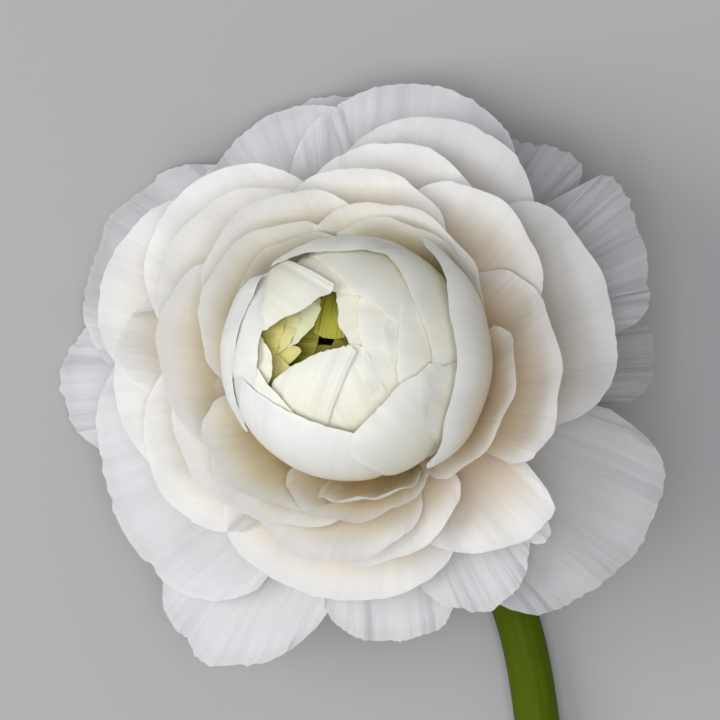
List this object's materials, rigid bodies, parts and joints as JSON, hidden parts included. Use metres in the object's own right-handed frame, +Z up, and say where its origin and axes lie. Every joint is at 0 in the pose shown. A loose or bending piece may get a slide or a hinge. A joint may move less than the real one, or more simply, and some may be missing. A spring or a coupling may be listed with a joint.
{
  "type": "ranunculus flower",
  "caption": "Picked white ranunculus: a globe of closed petals in a cup of open ones, on a cut green stem, lying on a surface.",
  "frame": {"origin": "bottom centre of the bounding box, on the surface that the flower lies on", "axes": "+Y from the cut end of the stem toward the bloom, +Z up, +X to the right as seen from above with the bloom ahead"},
  "size_m": [0.0962, 0.1894, 0.0583],
  "materials": {
    "stem": "satin",
    "sepal": "matte",
    "petal_white": "matte",
    "petal_cream": "matte",
    "petal_green": "matte",
    "petal_olive": "matte",
    "stamen": "matte",
    "carpel": "matte"
  },
  "bodies": {
    "root": {"stem": "stem", "sepals": "sepal", "guard_petals": "petal_white", "cup_petals": "petal_white", "globe_petals": "petal_cream", "heart_petals": "petal_green", "core_petals": "petal_olive", "stamens": "stamen", "carpels": "carpel"}
  },
  "joints": []
}
